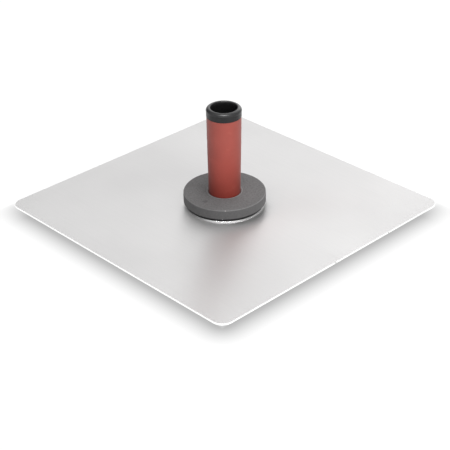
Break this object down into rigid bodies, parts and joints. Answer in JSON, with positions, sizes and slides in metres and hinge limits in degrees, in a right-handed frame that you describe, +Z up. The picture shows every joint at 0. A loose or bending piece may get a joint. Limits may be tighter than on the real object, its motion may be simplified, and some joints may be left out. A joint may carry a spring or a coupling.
{
  "type": "mortar hawk",
  "caption": "Square aluminium mortar hawk with rounded corners, a screw-on soft-grip handle and a round foam hand pad.",
  "frame": {"origin": "middle of the blade's working face, on the handle's axis; the hawk stands on its working face with the handle up", "axes": "+Z up along the handle, +X and +Y along the blade's sides"},
  "size_m": [0.3302, 0.3302, 0.1169],
  "materials": {
    "blade_aluminium": "mill finish, finely brushed, soft blurred reflections",
    "cast_aluminium": "tumbled die casting",
    "rivet_aluminium": "formed, flush on the working face",
    "bolt_steel": "zinc plated",
    "washer_nylon": "natural nylon",
    "insert_brass": "machined",
    "core_plastic": "black moulded, fine satin grain",
    "grip_rubber": "matt brick-red soft grip",
    "pad_foam": "dark grey closed-cell foam, fine matt grain"
  },
  "bodies": {
    "root": {"blade": "blade_aluminium", "handle_base": "cast_aluminium", "base_rivets": "rivet_aluminium", "captive_bolt": "bolt_steel"},
    "washer": {"friction_washer": "washer_nylon"},
    "handle": {"handle_core": "core_plastic", "threaded_insert": "insert_brass", "grip_sleeve": "grip_rubber"},
    "pad": {"foam_pad": "pad_foam"}
  },
  "joints": [
    {"name": "handle_climb", "type": "slide", "parent": "root", "child": "washer", "axis": [0, 0, 1], "range_m": [0, 0.01906]},
    {"name": "handle_turn", "type": "hinge", "parent": "washer", "child": "handle", "pos_m": [0, 0, 0.012], "axis": [0, 0, 1], "range_deg": [0, 4320]},
    {"name": "pad_slide", "type": "slide", "parent": "root", "child": "pad", "axis": [0, 0, 1], "range_m": [0, 0.132]}
  ],
  "couplings": [
    {"joint": "handle_climb", "follows": "handle_turn", "m_per_rad": 0.00025266}
  ]
}
